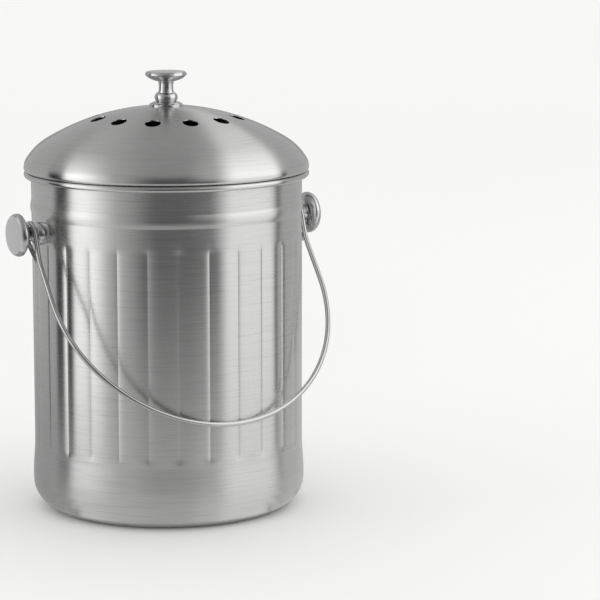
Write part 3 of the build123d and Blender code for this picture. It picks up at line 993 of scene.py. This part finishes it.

# %% [markdown]
# ## Riding
#
# Each piece rides the body that moves it, takes the place of its plain CAD node and gets
# its material. The screws and washers keep their CAD shapes and only get a material.

# %% Riding
PIECES = [
    (pail, "pail", "pail", "brushed_shell", steel),
    (dome, "lid", "lid_dome", "brushed_shell", steel),
    (plug, "lid", "lid_skirt", "brushed_shell", steel),
    (cover, "filter_cover", "filter_cover", "spun_plate", plate_steel),
    (pad, "filter_cover", "charcoal_filter", "carbon_felt", felt),
    (lid_knob, "lid", "lid_knob", "polished_knob", chrome),
    (lid_bead, "lid", "lid_collar", "polished_knob", chrome),
    (rosette, "lid", "lid_rosette", "polished_knob", chrome),
    (knobs["left"], "pail", "pivot_knob_left", "polished_knob", chrome),
    (knobs["right"], "pail", "pivot_knob_right", "polished_knob", chrome),
    (beads["left"], "pail", "pivot_collar_left", "polished_knob", chrome),
    (beads["right"], "pail", "pivot_collar_right", "polished_knob", chrome),
    (bail, "bail", "bail", "polished_wire", wire_steel),
]
for piece, body, node, slot, material in PIECES:
    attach(piece, body)
    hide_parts(node)
    piece.data.materials.append(material)
for knob in (lid_knob, *knobs.values()):
    knob.data.materials.append(satin)
for name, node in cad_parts.items():
    if "screw" in name or "washer" in name:
        node.material_slots[0].material = zinc
print("pieces:", len(PIECES))

# %% [markdown]
# ## Camera
#
# The camera stands where the photograph's stood, 28 degrees round from the front, with a
# long lens that looks down by 9.5 degrees. It looks a little to the right of the caddy,
# which the photograph shows left of its middle.

# %% Camera
LENS = 167.0
CAMERA_PLACE = (-0.8312, -1.5632, 0.4287)
LOOK_DOWN = 0.1659
LOOK_ROUND = radians(30.76)

camera = bpy.data.objects.new("camera", bpy.data.cameras.new("camera"))
bpy.context.scene.collection.objects.link(camera)
camera.data.sensor_width = 36
camera.data.lens = LENS
camera.location = CAMERA_PLACE
level = cos(LOOK_DOWN)
forward = Vector((sin(LOOK_ROUND) * level, cos(LOOK_ROUND) * level, -sin(LOOK_DOWN)))
camera.rotation_euler = forward.to_track_quat("-Z", "Y").to_euler()
bpy.context.scene.camera = camera

# %% [markdown]
# ## Floor and light
#
# The floor is one large pale sheet of matt card, wide enough to fill every view. A pale
# world lights it evenly, and the caddy darkens it softly where it stands.

# %% Floor and world
FLOOR_COLOUR = "#FAFAF9"
WORLD_COLOUR = "#FFFFFF"
WORLD_LEVEL = 0.98

start_clean()
bpy.ops.mesh.primitive_plane_add(size=24)
floor = bpy.context.object
floor.name = "floor"
card, _ = new_material("matt pale card", FLOOR_COLOUR, 0, 0.9)
floor.data.materials.append(card)

world = bpy.data.worlds.new("pale world")
bpy.context.scene.world = world
world.use_nodes = True
background = world.node_tree.nodes["Background"]
background.inputs["Color"].default_value = linear(WORLD_COLOUR)
background.inputs["Strength"].default_value = WORLD_LEVEL
bpy.context.scene.view_settings.view_transform = "Standard"

# %% [markdown]
# Steel shows its surroundings and little else, so a photographer builds a tent of white
# cloth and cards round it. Bright cards at both sides draw the long light bands, and a
# dark one in front, round the camera, draws the dark middle. Each card is given by the
# turn of the wall that shows it: a wall turned by 30 degrees mirrors what stands at 60.

# %% Tent: which part of the wall shows a place in the tent
EYE_SIDE = Vector((camera.location.x, camera.location.y, 0)).normalized()
EYE_RIGHT = Vector((-EYE_SIDE.y, EYE_SIDE.x, 0))
EYE_SLOPE = 0.14            # about how far the way to the camera rises for each metre
EYE_WAY = (EYE_SIDE + Vector((0, 0, EYE_SLOPE))).normalized()
SPOT_HEIGHT = 0.13          # metres, the height on the wall that the cards are set for


def mirror_turn(place):
    """Turn and tilt, in degrees, of the wall that mirrors this place to the camera."""
    around = atan2(place.dot(EYE_RIGHT), place.dot(EYE_SIDE))
    ratio = min(1, WALL_OUTSIDE * MM / hypot(place.x, place.y))
    turn = around / 2
    for _ in range(12):
        turn = (around + asin(ratio * sin(turn))) / 2
    spot = (EYE_SIDE * cos(turn) + EYE_RIGHT * sin(turn)) * WALL_OUTSIDE * MM
    spot.z = SPOT_HEIGHT
    normal = (place - spot).normalized() + EYE_WAY
    if place.z > SPOT_HEIGHT:
        turn = atan2(normal.dot(EYE_RIGHT), normal.dot(EYE_SIDE))
    return degrees(turn), degrees(atan2(normal.z, hypot(normal.x, normal.y)))


def band(value, low, high, soft_low, soft_high):
    """1 between low and high, falling softly to 0 outside them."""
    rise = ease((value - low) / soft_low + 0.5)
    fall = ease((high - value) / soft_high + 0.5)
    return rise * fall


# Each card: turn from and to, how soft both edges are, and its light from low to high,
# as (tilt, light).
CARDS = [
    ("floor and cloth", -200, 200, 1, 1,
     [(-90, 0.62), (-12, 0.6), (-4, 0.53), (20, 0.5), (90, 0.48)]),
    ("floor at the back left", -200, -54, 1, 10,
     [(-90, 0.37), (-14, 0.41), (-5, 0.5), (2, 0.55), (20, 0.5), (90, 0.46)]),
    ("dark room in front", -13, 22, 20, 9,
     [(-90, 0.52), (-20, 0.55), (-9, 0.6), (-5, 0.38), (-2, 0.15), (0, 0.1), (9, 0.1),
      (14, 0.15), (20, 0.22), (28, 0.34), (50, 0.38), (90, 0.4)]),
    ("haze beside the right card", 12, 32, 12, 4,
     [(-90, 0.66), (-20, 0.66), (-9, 0.64), (-5, 0.45), (-1, 0.06), (5, 0.12), (11, 0.5),
      (30, 0.55), (50, 0.45), (90, 0.42)]),
    ("right card", 23.4, 51.5, 11, 7,
     [(-90, 0.82), (-15, 0.88), (-5, 1.0), (5, 1.12), (18, 1.6), (45, 1.25), (60, 0.92),
      (75, 0.72), (90, 0.6)]),
    ("left card", -44.5, -29, 2.5, 19,
     [(-90, 0.65), (-15, 0.8), (-5, 1.3), (5, 1.55), (18, 1.8), (30, 1.3), (45, 0.7),
      (60, 0.5), (90, 0.46)]),
    ("gap left of the left card", -54.5, -46.5, 2.5, 1.5,
     [(-20, 0.4), (-10, 0.03), (12, 0.01), (24, 0.4), (90, 0.48)]),
    ("gap right of the right card", 52.6, 56, 1.5, 1.5,
     [(-20, 0.5), (-10, 0.04), (8, 0.04), (22, 0.6), (90, 0.5)]),
    ("dark behind on the left", -200, -85, 1, 6,
     [(-90, 0.45), (-25, 0.4), (-8, 0.15), (0, 0.1), (30, 0.15), (90, 0.45)]),
    ("dark behind on the right", 85, 200, 6, 1,
     [(-90, 0.5), (-25, 0.42), (-8, 0.15), (0, 0.1), (30, 0.15), (90, 0.45)]),
]


def along(table, value):
    """Reads a table of (value, light) at a value, straight between its lines."""
    for (a, light_a), (b, light_b) in zip(table, table[1:]):
        if value <= b:
            share = max(0, (value - a) / (b - a))
            return light_a + (light_b - light_a) * share
    return table[-1][1]


def light_at(turn, tilt):
    """How much light the tent sends from a place, from 0 to about 1."""
    light = 0.0
    for _, first, last, soft_first, soft_last, table in CARDS:
        share = band(turn, first, last, soft_first, soft_last)
        light += (along(table, tilt) - light) * share
    return light


# %% [markdown]
# The tent is a surface of revolution with a low skirt on the floor, and how much light
# each part sends is written on its vertices. The camera doesn't see it and diffuse light
# leaves it out, so it shows in the metal and hardly anywhere else.

# %% Tent: mesh and light
TENT_RADIUS = 2500.0
SKIRT_INNER = 80.0
SKIRT_WIDTH = 1260
SKIRT_RISE = 115

tent_points = []
for k in range(17):
    share = (k / 16) ** 2
    tent_points.append(Vector((SKIRT_INNER + SKIRT_WIDTH * share, 1 + SKIRT_RISE * share)))
tent_points += arc((0, 0), TENT_RADIUS, 4, 90, 60)
tent = draw_line("tent", tent_points)
spin(300)
glow = tent.data.attributes.new("glow", "FLOAT", "POINT")
for vertex in tent.data.vertices:
    turn, tilt = mirror_turn(vertex.co)
    glow.data[vertex.index].value = light_at(turn, tilt)
tent_cloth = bpy.data.materials.new("lit tent cloth")
tent_cloth.use_nodes = True
tent_cloth.node_tree.nodes.clear()
glow_node = add(tent_cloth, "ShaderNodeAttribute", attribute_name="glow")
emission = add(tent_cloth, "ShaderNodeEmission", {"Strength": glow_node.outputs["Fac"]})
add(tent_cloth, "ShaderNodeOutputMaterial", {"Surface": emission.outputs[0]})
tent.data.materials.append(tent_cloth)
tent.visible_camera = False
tent.visible_diffuse = False
tent.visible_shadow = False
print("tent:", len(tent.data.polygons), "faces")
